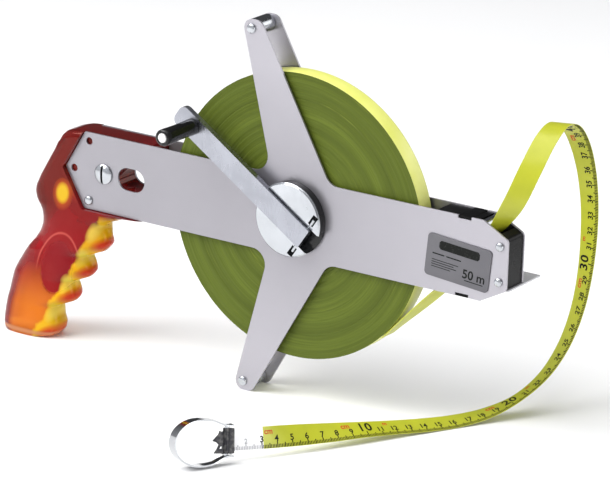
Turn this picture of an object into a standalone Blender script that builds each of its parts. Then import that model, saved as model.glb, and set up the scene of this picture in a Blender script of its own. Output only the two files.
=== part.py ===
"""Open-reel tape measure: two cruciform side plates with a wound steel tape between them.

Run with: blender --background --python part.py

Lengths are written in millimetres and turned into metres by the helpers.  The hub frame has its
origin on the reel's axle at the tape's mid-plane: +X towards the mouth, +Z up and -Y towards the
crank.  "Front" means the crank side.  HUB places that frame in the world, so that the world origin
is the middle of the underside of the tool.
"""
import math

import bmesh
import bpy
from mathutils import Matrix, Vector

MM = 0.001
GAP = 0.3
HUB = (34.85, 10.75, 116.0)

# Side plates
PLATE_IN = 8.3
PLATE_OUT = 9.5
BEAM_HALF = 24.5
NOSE_X = 147.7
TAIL_X = -168.2
TIP_RIVET = (-33.2, 110.4)
NOSE_RIVET = (142.3, 10.7)
GRIP_RIVET = (-150.4, -18.9)
GRIP_SCREW_X = -139.3
HANG_SLOT_X = -118.7
HANG_SLOT_R = 7.2
HANG_SLOT_HALF = 2.8
NOTCH = (113.5, 122.5, 22.6)
HUB_BORE = 11.0
FILLET = 9.5

# Reel, tape and crank
TAPE_HALF = 6.5
TAPE_THICK = 0.5
REEL_R = 88.0
CORE_R = 24.0
SPINDLE_R = 5.0
DISC_R = 22.9
DISC_FRONT = 16.4
DISC_BACK = 9.9
CHANNEL_HALF = 7.4
CHANNEL_FLOOR = 11.3
CRANK_TURN = -146.3
HINGE_X = -13.6
HINGE_FRONT = 15.2
ARM_HALF = 6.9
ARM_FRONT = 18.6
ARM_BACK = 14.6
ARM_END = 95.0
KNOB_X = 82.0
KNOB_R = 5.1
KNOB_FRONT = 49.5

# Mouth
MOUTH = (133.0, 15.7)
LEAD_CORNER = (100.5, -25.0)
ROLLER_R = 3.5
UPPER_ROLLER = (129.2, 20.2)
LOWER_ROLLER = (112.4, -17.8)
LIP_TOP = -14.9
LIP_THICK = 1.0

# Free tape from the mouth to the end hook: (x, y, z) of the middle of the blade and the
# direction of its upper edge, both in the hub frame.
FREE_ROUTE = (
    ((133.3, -0.5, 16.0), (-0.19, -0.96, 0.20)),
    ((143.5, 2.5, 34.8), (-0.70, -0.57, 0.43)),
    ((147.8, 12.3, 53.5), (-0.87, -0.33, 0.35)),
    ((147.4, 29.0, 67.1), (-0.96, -0.21, 0.20)),
    ((144.0, 49.8, 71.0), (-0.98, -0.18, 0.01)),
    ((140.6, 69.9, 64.0), (-0.97, -0.22, -0.11)),
    ((139.0, 85.3, 48.9), (-0.97, -0.21, -0.12)),
    ((139.1, 94.7, 29.4), (-1.00, -0.06, -0.05)),
    ((139.8, 98.9, 8.1), (-1.00, 0.09, -0.02)),
    ((140.1, 99.4, -13.6), (-0.98, 0.20, -0.01)),
    ((139.9, 97.2, -35.2), (-0.95, 0.32, -0.02)),
    ((138.7, 92.3, -56.3), (-0.91, 0.41, -0.05)),
    ((135.8, 83.8, -76.0), (-0.87, 0.49, -0.09)),
    ((130.4, 71.3, -92.9), (-0.82, 0.55, -0.14)),
    ((121.9, 55.5, -105.0), (-0.82, 0.55, -0.14)),
    ((111.4, 37.8, -111.9), (-0.86, 0.50, 0.07)),
    ((101.1, 18.4, -113.8), (-0.85, 0.46, 0.24)),
    ((90.8, -0.8, -113.0), (-0.84, 0.46, 0.30)),
    ((80.6, -19.3, -111.3), (-0.82, 0.46, 0.33)),
    ((70.7, -38.5, -109.3), (-0.78, 0.45, 0.43)),
    ((60.7, -57.8, -107.6), (-0.66, 0.40, 0.64)),
    ((50.8, -77.1, -105.7), (-0.47, 0.32, 0.82)),
    ((41.0, -96.4, -103.7), (-0.26, 0.23, 0.94)),
    ((29.3, -114.5, -102.5), (-0.12, 0.14, 0.98)),
)

# End fittings, as (out of the blade's end, towards its upper edge).
HOOK_PIN = 2.5
HOOK_OUTLINE = (
    (-2.5, -7.6), (-0.3, -7.9), (3.2, -7.3), (4.8, -7.9), (6.0, -7.3), (10.3, -7.0), (8.6, -4.8),
    (7.3, -2.2), (8.6, -0.6), (11.1, 0.3), (7.3, 4.1), (6.7, 6.0), (4.8, 5.4), (2.5, 7.9), (-2.5, 7.0),
)
HOOK_WINDOW = ((5.3, -4.4), (6.9, -4.6), (6.2, -3.2), (5.3, -3.0))
RING_PATH = (
    (-1.5, 9.0), (2.5, 9.0), (6.5, 10.6), (11.0, 12.6), (17.0, 13.4), (24.0, 12.9), (30.0, 10.2),
    (34.0, 6.0), (35.8, 0.0),
)


# ---------------------------------------------------------------- helpers

def clear_scene():
    for item in list(bpy.data.objects):
        bpy.data.objects.remove(item, do_unlink=True)


def new_collection(name):
    group = bpy.data.collections.new(name)
    bpy.context.scene.collection.children.link(group)
    return group


clear_scene()
PARTS = new_collection("tape_measure")
CUTTERS = new_collection("cutters")


def make_material(name, color, roughness, metallic=0.0, transmission=0.0):
    material = bpy.data.materials.new(name)
    material.use_nodes = True
    shader = material.node_tree.nodes["Principled BSDF"]
    shader.inputs["Base Color"].default_value = (*color, 1.0)
    shader.inputs["Roughness"].default_value = roughness
    shader.inputs["Metallic"].default_value = metallic
    shader.inputs["Transmission Weight"].default_value = transmission
    return material


SATIN = make_material("satin_plate", (0.60, 0.58, 0.62), 0.34, 0.9)
BRIGHT = make_material("bright_steel", (0.80, 0.81, 0.84), 0.22, 1.0)
DARK_STEEL = make_material("dark_steel", (0.07, 0.07, 0.075), 0.4, 0.8)
AMBER = make_material("amber_plastic", (0.62, 0.09, 0.02), 0.12, 0.0, 0.5)
BLACK = make_material("black_plastic", (0.012, 0.012, 0.013), 0.35)
WHITE = make_material("white_plastic", (0.80, 0.80, 0.78), 0.4)
BLADE = make_material("tape_yellow", (0.62, 0.66, 0.05), 0.42)
COIL = make_material("coil_green", (0.20, 0.26, 0.04), 0.55)
LABEL = make_material("label_grey", (0.28, 0.27, 0.30), 0.45, 0.4)
BRONZE = make_material("bearing_bronze", (0.55, 0.36, 0.14), 0.38, 0.9)


def make_empty(name, parent=None, location=(0, 0, 0), rotation=(0, 0, 0)):
    empty = bpy.data.objects.new(name, None)
    PARTS.objects.link(empty)
    empty.parent = parent
    empty.location = Vector(location) * MM
    empty.rotation_euler = rotation
    return empty


HUB_FRAME = make_empty("hub_frame", None, HUB)
CRANK_FRAME = make_empty("crank_frame", HUB_FRAME, (0, 0, 0), (0, math.radians(CRANK_TURN), 0))


def link(obj, material, parent):
    PARTS.objects.link(obj)
    obj.parent = parent
    if material is not None:
        obj.data.materials.append(material)
    return obj


def smooth(obj, angle=35.0):
    obj.data.shade_smooth()
    obj.data.set_sharp_from_angle(angle=math.radians(angle))
    return obj


def mesh_object(name, bm, material, parent=HUB_FRAME, origin=(0, 0, 0)):
    """A mesh modelled in millimetres in its parent's frame becomes an object with its origin there."""
    offset = Vector(origin)
    for vert in bm.verts:
        vert.co = (vert.co - offset) * MM
    bmesh.ops.recalc_face_normals(bm, faces=bm.faces)
    mesh = bpy.data.meshes.new(name)
    bm.to_mesh(mesh)
    bm.free()
    obj = bpy.data.objects.new(name, mesh)
    obj.location = offset * MM
    return link(obj, material, parent)


def flat_outline(name, loops, front, back, material=None, parent=HUB_FRAME, origin=(0, 0, 0)):
    """A flat piece in the XZ plane between two distances in front of the mid-plane.

    The first loop is the outline and the others are its holes."""
    curve = bpy.data.curves.new(name + "_curve", "CURVE")
    curve.dimensions = "2D"
    curve.fill_mode = "BOTH"
    curve.extrude = abs(front - back) / 2 * MM
    for loop in loops:
        spline = curve.splines.new("POLY")
        spline.points.add(len(loop) - 1)
        for point, (x, z) in zip(spline.points, loop):
            point.co = (x * MM, z * MM, 0.0, 1.0)
        spline.use_cyclic_u = True
    guide = bpy.data.objects.new(name + "_guide", curve)
    PARTS.objects.link(guide)
    evaluated = guide.evaluated_get(bpy.context.evaluated_depsgraph_get())
    mesh = bpy.data.meshes.new_from_object(evaluated)
    bpy.data.objects.remove(guide)
    bm = bmesh.new()
    bm.from_mesh(mesh)
    bpy.data.meshes.remove(mesh)
    bmesh.ops.remove_doubles(bm, verts=bm.verts, dist=0.000002)
    turn = Matrix.Rotation(math.radians(90), 4, "X")
    bmesh.ops.transform(bm, matrix=turn, verts=bm.verts)
    bmesh.ops.scale(bm, vec=(1 / MM, 1 / MM, 1 / MM), verts=bm.verts)
    bmesh.ops.translate(bm, vec=(0, -(front + back) / 2, 0), verts=bm.verts)
    return mesh_object(name, bm, material, parent, origin)


def turned(name, profile, material, centre=(0, 0), parent=HUB_FRAME, steps=48, closed=False):
    """A turned piece about the Y axis: profile points are (radius, distance in front)."""
    mesh = bpy.data.meshes.new(name)
    verts = [(radius * MM, 0.0, front * MM) for radius, front in profile]
    edges = [(i, i + 1) for i in range(len(profile) - 1)]
    if closed:
        edges.append((len(profile) - 1, 0))
    mesh.from_pydata(verts, edges, [])
    obj = bpy.data.objects.new(name, mesh)
    obj.location = Vector((centre[0], 0, centre[1])) * MM
    obj.rotation_euler = (math.radians(90), 0, 0)
    link(obj, material, parent)
    screw = obj.modifiers.new("turn", "SCREW")
    screw.axis = "Z"
    screw.steps = steps
    screw.render_steps = steps
    screw.use_merge_vertices = True
    screw.merge_threshold = 0.00001
    screw.use_smooth_shade = True
    return obj


def ring_profile(outer, inner, front, back):
    return ((outer, front), (outer, back), (inner, back), (inner, front))


def disc_profile(radius, front, back):
    return ((0, front), (radius, front), (radius, back), (0, back))


def block(name, low, high, material=None, parent=HUB_FRAME):
    bm = bmesh.new()
    bmesh.ops.create_cube(bm, size=1.0)
    size = [b - a for a, b in zip(low, high)]
    middle = [(a + b) / 2 for a, b in zip(low, high)]
    bmesh.ops.scale(bm, vec=size, verts=bm.verts)
    bmesh.ops.translate(bm, vec=middle, verts=bm.verts)
    return mesh_object(name, bm, material, parent)


def rod(name, radius, start, end, material=None, parent=HUB_FRAME, segments=24):
    """A straight round bar between two points."""
    start = Vector(start)
    end = Vector(end)
    bm = bmesh.new()
    bmesh.ops.create_cone(bm, cap_ends=True, segments=segments, radius1=radius, radius2=radius,
                          depth=(end - start).length)
    turn = Vector((0, 0, 1)).rotation_difference(end - start).to_matrix().to_4x4()
    bmesh.ops.transform(bm, matrix=Matrix.Translation((start + end) / 2) @ turn, verts=bm.verts)
    return smooth(mesh_object(name, bm, material, parent))


def boolean(obj, other, operation):
    """Cut or join with another object, which becomes a hidden guide."""
    other.name = obj.name + "_" + operation.lower() + str(len(obj.modifiers))
    for group in list(other.users_collection):
        group.objects.unlink(other)
    CUTTERS.objects.link(other)
    other.hide_render = True
    other.display_type = "WIRE"
    modifier = obj.modifiers.new(operation.lower(), "BOOLEAN")
    modifier.operation = operation
    modifier.solver = "EXACT"
    modifier.object = other


def cut(obj, other):
    boolean(obj, other, "DIFFERENCE")


def join(obj, other):
    boolean(obj, other, "UNION")


def circle(centre, radius, count=24):
    return [(centre[0] + radius * math.cos(2 * math.pi * i / count),
             centre[1] + radius * math.sin(2 * math.pi * i / count)) for i in range(count)]


def rounded(corners, step=12.0):
    """An outline whose corners (x, z, radius) are rounded with arcs."""
    points = []
    count = len(corners)
    for i, (x, z, radius) in enumerate(corners):
        here = Vector((x, z))
        before = (Vector(corners[i - 1][:2]) - here).normalized()
        after = (Vector(corners[(i + 1) % count][:2]) - here).normalized()
        if radius <= 0:
            points.append((x, z))
            continue
        half = before.angle(after) / 2
        reach = radius / math.tan(half)
        centre = here + (before + after).normalized() * (radius / math.sin(half))
        first = here + before * reach - centre
        last = here + after * reach - centre
        sweep = math.atan2(first.x * last.y - first.y * last.x, first.dot(last))
        parts = max(2, int(abs(math.degrees(sweep)) / step))
        for k in range(parts + 1):
            angle = sweep * k / parts
            points.append((centre.x + first.x * math.cos(angle) - first.y * math.sin(angle),
                           centre.y + first.x * math.sin(angle) + first.y * math.cos(angle)))
    return points


def catmull(points, parts):
    """Points on a smooth curve through the given vectors, parts to a stretch."""
    ends = [points[0] * 2 - points[1]] + list(points) + [points[-1] * 2 - points[-2]]
    out = []
    for i in range(1, len(ends) - 2):
        a, b, c, d = ends[i - 1:i + 3]
        for k in range(parts):
            t = k / parts
            out.append(0.5 * (2 * b + (c - a) * t + (2 * a - 5 * b + 4 * c - d) * t ** 2
                              + (3 * b - a - 3 * c + d) * t ** 3))
    out.append(points[-1].copy())
    return out


def strip(name, middles, wides, thick, material, parent=HUB_FRAME, origin=(0, 0, 0)):
    """A bent strip: wides are half-width vectors; thick is measured across them."""
    bm = bmesh.new()
    rows = []
    for i, (middle, wide) in enumerate(zip(middles, wides)):
        ahead = middles[min(i + 1, len(middles) - 1)] - middles[max(i - 1, 0)]
        out = ahead.cross(wide).normalized() * (thick / 2)
        rows.append([bm.verts.new(middle + wide + out), bm.verts.new(middle - wide + out),
                     bm.verts.new(middle - wide - out), bm.verts.new(middle + wide - out)])
    for a, b in zip(rows, rows[1:]):
        for k in range(4):
            bm.faces.new((a[k], a[(k + 1) % 4], b[(k + 1) % 4], b[k]))
    bm.faces.new(rows[0])
    bm.faces.new(rows[-1])
    return smooth(mesh_object(name, bm, material, parent, origin))


# ---------------------------------------------------------------- frame

def nose_outline(slotted, inset=0.0):
    """The nose from its upper chamfer to its lower one; slotted leaves out the lip's gap."""
    low = LIP_TOP - LIP_THICK - GAP
    tip = NOSE_X - inset
    if not slotted:
        return [(tip, 15.2, 3.0), (tip, -15.2, 3.0)]
    chamfer = tip - (-15.2 - low) * (NOSE_X - 130.4) / (BEAM_HALF - 15.2)
    return [(tip, 15.2, 3.0), (tip, LIP_TOP + GAP, 0), (131.6, LIP_TOP + GAP, 0), (131.6, low, 0),
            (chamfer, low, 0)]


def plate_outline(slotted):
    """The cruciform outline, from the tail over the upper side to the nose and back below."""
    half = [
        (-153.9, BEAM_HALF, 1.5),
        (-16.5, BEAM_HALF, FILLET),
        (-40.1, 116.0, 5.6),
        (-26.6, 116.0, 5.6),
        (25.0, BEAM_HALF, FILLET),
        (NOTCH[0], BEAM_HALF, 0.3),
        (NOTCH[0], NOTCH[2], 0.3),
        (NOTCH[1], NOTCH[2], 0.3),
        (NOTCH[1], BEAM_HALF, 0.3),
        (130.4, BEAM_HALF, 2.5),
    ]
    mirrored = [(x, -z, radius) for x, z, radius in reversed(half)]
    return rounded([(TAIL_X, 0.0, 2.0)] + half + nose_outline(slotted) + mirrored)


def slot_loop():
    reach = HANG_SLOT_HALF + HANG_SLOT_R
    corners = [(-1, -1), (1, -1), (1, 1), (-1, 1)]
    return rounded([(HANG_SLOT_X + x * reach, z * HANG_SLOT_R, HANG_SLOT_R) for x, z in corners], 15.0)


def side_plate(name, side):
    """side is +1 for the front plate and -1 for the rear one."""
    holes = [slot_loop(), circle((0, 0), HUB_BORE, 40)]
    holes.append(circle((GRIP_SCREW_X, 0), 3.3 if side > 0 else 4.6))
    holes.append(circle((-150.5, 19.0), 2.4, 20))
    holes.append(circle((-161.6, 0.0), 2.4, 20))
    holes.append(circle(GRIP_RIVET, 2.3, 16))
    for sign in (1, -1):
        holes.append(circle((TIP_RIVET[0], sign * TIP_RIVET[1]), 2.3, 16))
        holes.append(circle((NOSE_RIVET[0], sign * NOSE_RIVET[1]), 2.3, 16))
    outline = plate_outline(side < 0)
    flat_outline(name, [outline] + holes, side * PLATE_OUT, side * PLATE_IN, SATIN)


def rivet(name, centre, reach=PLATE_OUT + GAP, head=3.1, shank=1.95):
    dome = [(0, reach + 1.5), (head * 0.55, reach + 1.3), (head * 0.88, reach + 0.75), (head, reach)]
    back = [(radius, -front) for radius, front in reversed(dome)]
    turned(name, dome + [(shank, reach), (shank, -reach)] + back, BRIGHT, centre, steps=24)


def frame_fasteners():
    for word, sign in (("upper", 1), ("lower", -1)):
        tip = (TIP_RIVET[0], sign * TIP_RIVET[1])
        turned(word + "_tip_spacer", ring_profile(5.4, 2.3, PLATE_IN - GAP, GAP - PLATE_IN), BRIGHT,
               tip, steps=32, closed=True)
        rivet(word + "_tip_rivet", tip)
        rivet(word + "_nose_rivet", (NOSE_RIVET[0], sign * NOSE_RIVET[1]))
    rivet("grip_rivet", GRIP_RIVET)


def label_plate():
    corners = [(-21.7, -13.0, 2.5), (21.7, -13.0, 2.5), (21.7, 13.0, 2.5), (-21.7, 13.0, 2.5)]
    lean = math.radians(-4.8)
    loop = []
    for x, z in rounded(corners, 20.0):
        loop.append((115.0 + x * math.cos(lean) - z * math.sin(lean),
                     -4.2 + x * math.sin(lean) + z * math.cos(lean)))
    flat_outline("label_plate", [loop], PLATE_OUT + GAP + 0.4, PLATE_OUT + GAP, LABEL)


def lip_plate():
    block("lip_plate", (132.0, -PLATE_IN + GAP, LIP_TOP - LIP_THICK), (148.4, 28.5, LIP_TOP), SATIN)


# ---------------------------------------------------------------- grip

# Height, back edge, front edge, half width and boxiness of the grip at each level.
GRIP_LEVELS = (
    (-116.0, -216.4, -184.5, 11.6, 3.0),
    (-114.6, -217.6, -179.5, 12.2, 3.0),
    (-111.0, -218.2, -176.6, 12.6, 3.0),
    (-106.0, -217.9, -175.6, 12.7, 2.8),
    (-100.0, -217.0, -177.0, 12.8, 2.7),
    (-95.0, -216.0, -178.0, 12.8, 2.6),
    (-92.3, -215.4, -171.5, 12.8, 2.6),
    (-89.6, -214.7, -166.0, 12.8, 2.6),
    (-85.5, -213.7, -163.6, 13.0, 2.6),
    (-80.5, -212.3, -164.8, 13.0, 2.6),
    (-76.6, -211.0, -166.8, 13.0, 2.6),
    (-74.2, -210.0, -160.5, 13.0, 2.6),
    (-71.5, -208.7, -154.6, 13.0, 2.6),
    (-67.5, -206.2, -151.7, 13.2, 2.6),
    (-62.0, -202.6, -153.6, 13.2, 2.6),
    (-58.0, -199.6, -156.4, 13.2, 2.6),
    (-55.3, -197.4, -150.0, 13.2, 2.6),
    (-52.5, -195.0, -143.4, 13.2, 2.6),
    (-47.0, -191.2, -139.4, 13.2, 2.6),
    (-41.0, -188.9, -140.6, 13.0, 2.7),
    (-35.5, -188.3, -142.8, 13.0, 3.0),
    (-31.6, -188.9, -137.0, 13.0, 3.4),
    (-28.9, -189.9, -129.4, 12.8, 4.0),
    (-26.2, -191.1, -126.5, 12.6, 5.0),
    (-24.6, -191.7, -104.5, 12.4, 6.0),
    (-20.0, -192.3, -103.0, 12.4, 7.0),
    (-14.0, -190.9, -103.0, 12.4, 7.0),
    (0.0, -182.9, -103.0, 12.4, 7.0),
    (14.0, -174.8, -103.0, 12.4, 7.0),
    (19.5, -171.4, -103.0, 12.4, 7.0),
    (22.6, -168.0, -103.4, 12.0, 7.0),
    (24.2, -162.0, -105.0, 11.0, 7.0),
)
GRIP_SIDES = 28


def superellipse(back, front, half, power, z):
    points = []
    middle = (back + front) / 2
    reach = (front - back) / 2
    for i in range(GRIP_SIDES):
        angle = 2 * math.pi * (i + 0.5) / GRIP_SIDES
        c = math.cos(angle)
        s = math.sin(angle)
        x = middle + reach * math.copysign(abs(c) ** (2 / power), c)
        y = half * math.copysign(abs(s) ** (2 / power), s)
        points.append((x, y, z))
    return points


def grip():
    """A loft through level sections, cut away where the side plates lie on it."""
    bm = bmesh.new()
    rows = []
    for z, back, front, half, power in GRIP_LEVELS:
        rows.append([bm.verts.new(p) for p in superellipse(back, front, half, power, z)])
    for low, high in zip(rows, rows[1:]):
        for k in range(GRIP_SIDES):
            n = (k + 1) % GRIP_SIDES
            bm.faces.new((low[k], low[n], high[n], high[k]))
    bm.faces.new(rows[0])
    bm.faces.new(rows[-1])
    body = mesh_object("grip", bm, AMBER)
    grow = 0.4
    pocket = [(TAIL_X - grow * 1.2, 0.0), (-153.9 - grow * 0.6, BEAM_HALF + grow), (-150, 40),
              (-90, 40), (-90, -BEAM_HALF - grow), (-153.9 - grow * 0.6, -BEAM_HALF - grow)]
    for side in (1, -1):
        cut(body, flat_outline("plate_seat", [pocket], side * 30, side * (PLATE_IN - GAP)))
    cut(body, flat_outline("hang_hole", [slot_loop()], 20, -20))
    cut(body, rod("screw_hole", 4.6, (GRIP_SCREW_X, -20, 0), (GRIP_SCREW_X, 20, 0)))
    cut(body, rod("rivet_hole", 2.3, (GRIP_RIVET[0], -20, GRIP_RIVET[1]),
                  (GRIP_RIVET[0], 20, GRIP_RIVET[1]), segments=16))
    smooth(body)


def grip_fasteners():
    face = PLATE_OUT + GAP
    screw = turned("grip_screw", ((0, face + 2.4), (2.6, face + 2.3), (5.0, face + 1.7),
                                  (6.3, face + 0.8), (6.5, face), (2.8, face), (2.8, -6.0), (0, -6.0)),
                   BRIGHT, (GRIP_SCREW_X, 0), steps=36)
    cut(screw, block("screw_slot", (GRIP_SCREW_X - 0.7, -face - 5, -9),
                     (GRIP_SCREW_X + 0.7, -face - 1.1, 9)))
    turned("grip_nut", ((0, -8.0), (3.1, -8.0), (3.1, -2.0), (4.2, -2.0), (4.2, -face), (6.5, -face),
                        (6.3, -face - 0.8), (4.6, -face - 1.8), (0, -face - 2.2)),
           BRIGHT, (GRIP_SCREW_X, 0), steps=36)


# ---------------------------------------------------------------- reel

def bushings():
    for name, side in (("front_bushing", 1), ("rear_bushing", -1)):
        profile = [(8.3, 6.9), (8.3, 9.6), (10.7, 9.6), (10.7, PLATE_IN - GAP),
                   (13.0, PLATE_IN - GAP), (13.0, 6.9)]
        if side < 0:
            profile = [(radius, -front) for radius, front in reversed(profile)]
        turned(name, profile, BRONZE, closed=True)


def reel():
    turned("spindle", disc_profile(SPINDLE_R, 9.9, -11.2), BRIGHT, steps=32)
    core = turned("spool_core", ring_profile(CORE_R - GAP, SPINDLE_R + GAP, 6.3, -6.3), BLACK,
                  closed=True, steps=64)
    cut(core, rod("anchor_hole", 1.8, (0, -10, 20.5), (0, 10, 20.5), segments=16))
    rod("tape_anchor", 1.5, (0, -6.0, 20.5), (0, 6.0, 20.5), BRIGHT, segments=16)
    turned("wound_tape", ring_profile(REEL_R, CORE_R, TAPE_HALF, -TAPE_HALF), COIL,
           closed=True, steps=120)
    turned("rear_hub_cap", ((0, -11.5), (SPINDLE_R + GAP, -11.5), (SPINDLE_R + GAP, -6.6), (8.0, -6.6),
                            (8.0, -9.9), (14.0, -9.9), (13.6, -11.8), (11.0, -13.2), (0, -13.6)), BLACK)


def crank_disc():
    disc = turned("crank_disc", ((0, DISC_FRONT), (DISC_R - 1.0, DISC_FRONT), (DISC_R, DISC_FRONT - 1.0),
                                 (DISC_R, DISC_BACK), (8.0, DISC_BACK), (8.0, 6.6),
                                 (SPINDLE_R + GAP, 6.6), (SPINDLE_R + GAP, 10.2), (0, 10.2)),
                  BRIGHT, parent=CRANK_FRAME, steps=64)
    cut(disc, block("channel", (-40, -30, -CHANNEL_HALF), (40, -CHANNEL_FLOOR, CHANNEL_HALF),
                    parent=CRANK_FRAME))
    cut(disc, block("arm_end_pocket", (-20.6, -30, -CHANNEL_HALF), (-9.0, -10.7, CHANNEL_HALF),
                    parent=CRANK_FRAME))
    cut(disc, rod("pin_hole", 1.4, (HINGE_X, -HINGE_FRONT, -14), (HINGE_X, -HINGE_FRONT, 14),
                  parent=CRANK_FRAME, segments=16))
    for sign in (1, -1):
        z = sorted((sign * 9.4, sign * 16.4))
        cut(disc, block("pin_window", (HINGE_X - 1.9, -30, z[0]), (HINGE_X + 1.9, -13.2, z[1]),
                        parent=CRANK_FRAME))
    rod("hinge_pin", 1.1, (HINGE_X, -HINGE_FRONT, -13.4), (HINGE_X, -HINGE_FRONT, 13.4), BRIGHT,
        CRANK_FRAME, 16)


def crank_arm():
    """A folded-sheet channel, open towards the frame, with a boss that takes the hinge pin."""
    near = HINGE_X - 2.3
    corner = 4.5
    loop = rounded([(near, -ARM_HALF, 0.6), (ARM_END, -ARM_HALF, corner),
                    (ARM_END, ARM_HALF, corner), (near, ARM_HALF, 0.6)], 15.0)
    arm = flat_outline("crank_arm", [loop], ARM_FRONT, ARM_BACK, BRIGHT, CRANK_FRAME,
                       (HINGE_X, -HINGE_FRONT, 0))
    wall = 1.2
    inner = rounded([(HINGE_X + 3.2, -ARM_HALF + wall, 0), (ARM_END - wall, -ARM_HALF + wall, 3.4),
                     (ARM_END - wall, ARM_HALF - wall, 3.4), (HINGE_X + 3.2, ARM_HALF - wall, 0)], 15.0)
    boss = rod("arm_boss", 2.3, (HINGE_X, -HINGE_FRONT, -ARM_HALF + 0.01),
               (HINGE_X, -HINGE_FRONT, ARM_HALF - 0.01), parent=CRANK_FRAME)
    join(arm, boss)
    cut(arm, flat_outline("arm_hollow", [inner], ARM_FRONT - wall, 5, parent=CRANK_FRAME))
    cut(arm, rod("arm_bore", 1.4, (HINGE_X, -HINGE_FRONT, -20), (HINGE_X, -HINGE_FRONT, 20),
                 parent=CRANK_FRAME, segments=16))
    cut(arm, rod("spindle_hole", 2.3, (KNOB_X, -30, 0), (KNOB_X, -5, 0), parent=CRANK_FRAME))
    turned("knob_spindle", ((0, 45.5), (2.0, 45.5), (2.0, 17.1), (3.8, 17.1), (3.8, 15.9), (0, 15.9)),
           BRIGHT, (KNOB_X, 0), CRANK_FRAME, 24)
    base = ARM_FRONT + GAP
    turned("knob", ((2.3, base), (2.3, 46.0), (3.3, 46.0), (3.3, KNOB_FRONT), (KNOB_R - 1.0, KNOB_FRONT),
                    (KNOB_R, KNOB_FRONT - 1.2), (KNOB_R, base + 0.8), (KNOB_R - 0.6, base)),
           BLACK, (KNOB_X, 0), CRANK_FRAME, 36, True)
    turned("knob_cap", ((0, KNOB_FRONT + 0.5), (2.2, KNOB_FRONT + 0.3), (3.0, KNOB_FRONT - 0.2),
                        (3.0, 46.3), (0, 46.3)), WHITE, (KNOB_X, 0), CRANK_FRAME, 24)


# ---------------------------------------------------------------- mouth and tape

def lead_curve():
    """The blade's middle line from the reel to the mouth, as (x, z) vectors."""
    corner = Vector(LEAD_CORNER)
    radius = REEL_R + GAP + TAPE_THICK
    turn = math.atan2(corner.y, corner.x) - math.acos(radius / corner.length)
    start = Vector((radius * math.cos(turn), radius * math.sin(turn)))
    along = (corner - start).normalized()
    end = Vector(MOUTH)
    out = Vector((0.64, 0.77))
    reach = (end - corner).length
    points = [start, (start + corner) / 2]
    for k in range(9):
        t = k / 8
        points.append(corner * (2 * t ** 3 - 3 * t ** 2 + 1) + along * reach * (t ** 3 - 2 * t ** 2 + t)
                      + end * (3 * t ** 2 - 2 * t ** 3) + out * reach * (t ** 3 - t ** 2))
    return points


def channel_loop():
    """The blade's way through the mouth guide, flared at its top."""
    path = lead_curve()[1:]
    path.append(path[-1] + Vector((0.64, 0.77)) * 18)
    left = []
    right = []
    for i, point in enumerate(path):
        ahead = (path[min(i + 1, len(path) - 1)] - path[max(i - 1, 0)]).normalized()
        side = Vector((-ahead.y, ahead.x))
        half = 2.4 + 2.6 * max(0.0, (point.y - 2) / 18)
        left.append(tuple(point + side * half))
        right.append(tuple(point - side * half))
    return left + right[::-1]


def mouth_guide():
    """One moulding between the plates; its cheeks join the halves on each side of the blade."""
    half = PLATE_IN - GAP
    way = TAPE_HALF + 0.8
    pocket = TAPE_HALF + 0.6
    loop = rounded([(112.0, -24.2, 1.0), (95.0, -23.0, 2.0), (95.0, 18.0, 1.0), (97.0, 23.9, 2.0),
                    (130.2, 23.9, 2.0)] + nose_outline(True, 0.6) + [(130.2, -24.2, 2.0)])
    guide = flat_outline("mouth_guide", [loop], half, -half, BLACK)
    cut(guide, flat_outline("blade_way", [channel_loop()], way, -way))
    for centre in (UPPER_ROLLER, LOWER_ROLLER):
        cut(guide, rod("roller_pocket", ROLLER_R + 0.7, (centre[0], -pocket, centre[1]),
                       (centre[0], pocket, centre[1])))
        cut(guide, rod("pin_hole", 1.5, (centre[0], -20, centre[1]), (centre[0], 20, centre[1]),
                       segments=16))
    for sign in (1, -1):
        z = sign * NOSE_RIVET[1]
        cut(guide, rod("rivet_hole", 2.3, (NOSE_RIVET[0], -20, z), (NOSE_RIVET[0], 20, z), segments=16))
        low, high = sorted((sign * (NOTCH[2] + GAP), sign * (BEAM_HALF - 0.1)))
        join(guide, block("plate_tab", (NOTCH[0] + GAP, -PLATE_OUT, low), (NOTCH[1] - GAP, PLATE_OUT, high)))


def rollers():
    for word, centre in (("upper", UPPER_ROLLER), ("lower", LOWER_ROLLER)):
        turned(word + "_roller", ring_profile(ROLLER_R, 1.5, 6.9, -6.9), BRIGHT, centre, steps=28,
               closed=True)
        rod(word + "_roller_pin", 1.2, (centre[0], -7.9, centre[1]), (centre[0], 7.9, centre[1]), BRIGHT,
            segments=16)


def tape_lead():
    path = lead_curve()
    middles = [Vector((p.x, 0, p.y)) for p in path]
    middles[-1] -= (middles[-1] - middles[-2]).normalized() * GAP
    wides = [Vector((0, -TAPE_HALF, 0))] * len(middles)
    strip("tape_lead", middles, wides, TAPE_THICK, BLADE)


def free_blade():
    """Middles and half-width vectors of the free blade, from the mouth to its end."""
    middles = catmull([Vector(point) for point, wide in FREE_ROUTE], 3)
    edges = catmull([Vector(wide) for point, wide in FREE_ROUTE], 3)
    wides = []
    for i, edge in enumerate(edges):
        ahead = (middles[min(i + 1, len(middles) - 1)] - middles[max(i - 1, 0)]).normalized()
        wides.append((edge - ahead * edge.dot(ahead)).normalized() * TAPE_HALF)
    return middles, wides


def tape_free():
    middles, wides = free_blade()
    strip("tape_free", middles, wides, TAPE_THICK, BLADE, origin=middles[0])


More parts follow.
